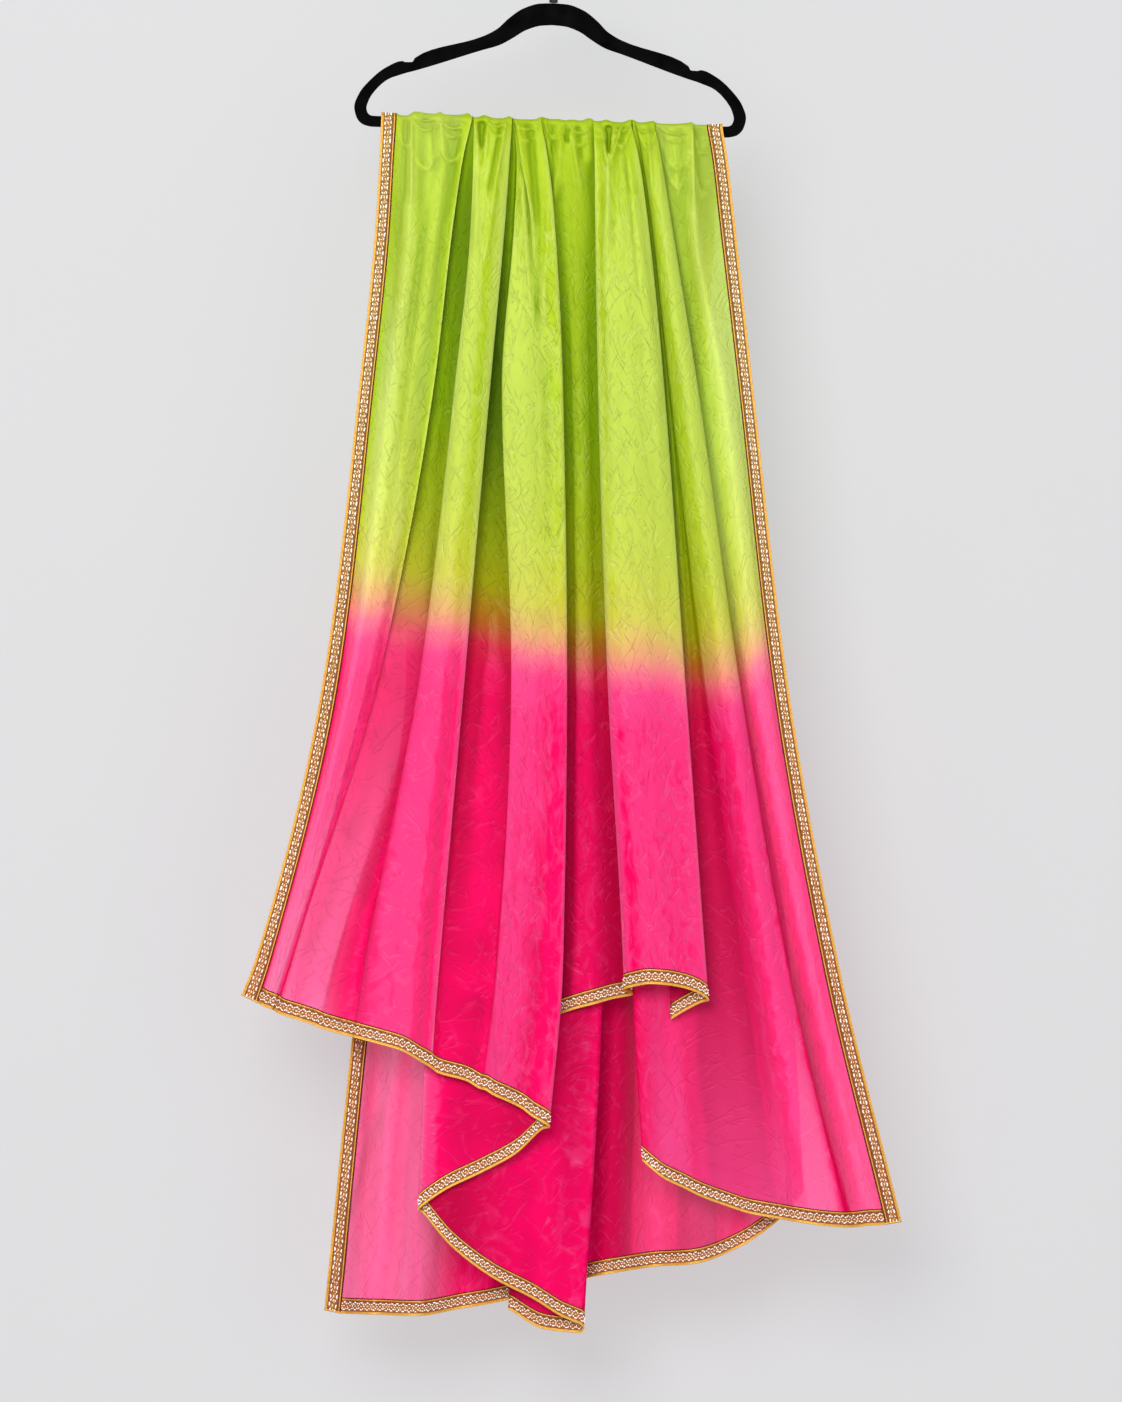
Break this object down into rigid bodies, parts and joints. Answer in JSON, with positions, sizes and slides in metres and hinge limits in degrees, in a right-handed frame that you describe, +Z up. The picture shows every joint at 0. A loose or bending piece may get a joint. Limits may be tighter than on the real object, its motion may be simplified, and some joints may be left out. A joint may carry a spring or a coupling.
{
  "type": "dupatta stole on a clothes hanger",
  "caption": "Two-tone sheer dupatta stole with a beaded gold lace border, folded in loose pleats over the bar of a flocked clothes hanger.",
  "frame": {"origin": "inside top of the hanger's hook, where a rail carries it", "axes": "+Z up, +X to the right as seen from the front, +Y from the front to the back, at right angles to the hanger"},
  "size_m": [0.7481, 0.0834, 1.5879],
  "materials": {
    "cloth": "sheer crinkled silk, lime green at the fold shading into hot pink at the hems",
    "lace": "gold corded lace with rows of small white beads",
    "hanger": "black flocking over plastic",
    "hook": "black painted wire"
  },
  "bodies": {
    "root": {"cloth_front_left": "cloth", "cloth_front_centre": "cloth", "cloth_front_right": "cloth", "cloth_back": "cloth", "lace_side_left": "lace", "lace_side_right": "lace", "lace_hem_front_left": "lace", "lace_hem_front_centre": "lace", "lace_hem_front_right": "lace", "lace_hem_back": "lace", "hanger_frame": "hanger", "hanger_hook": "hook"}
  },
  "joints": []
}
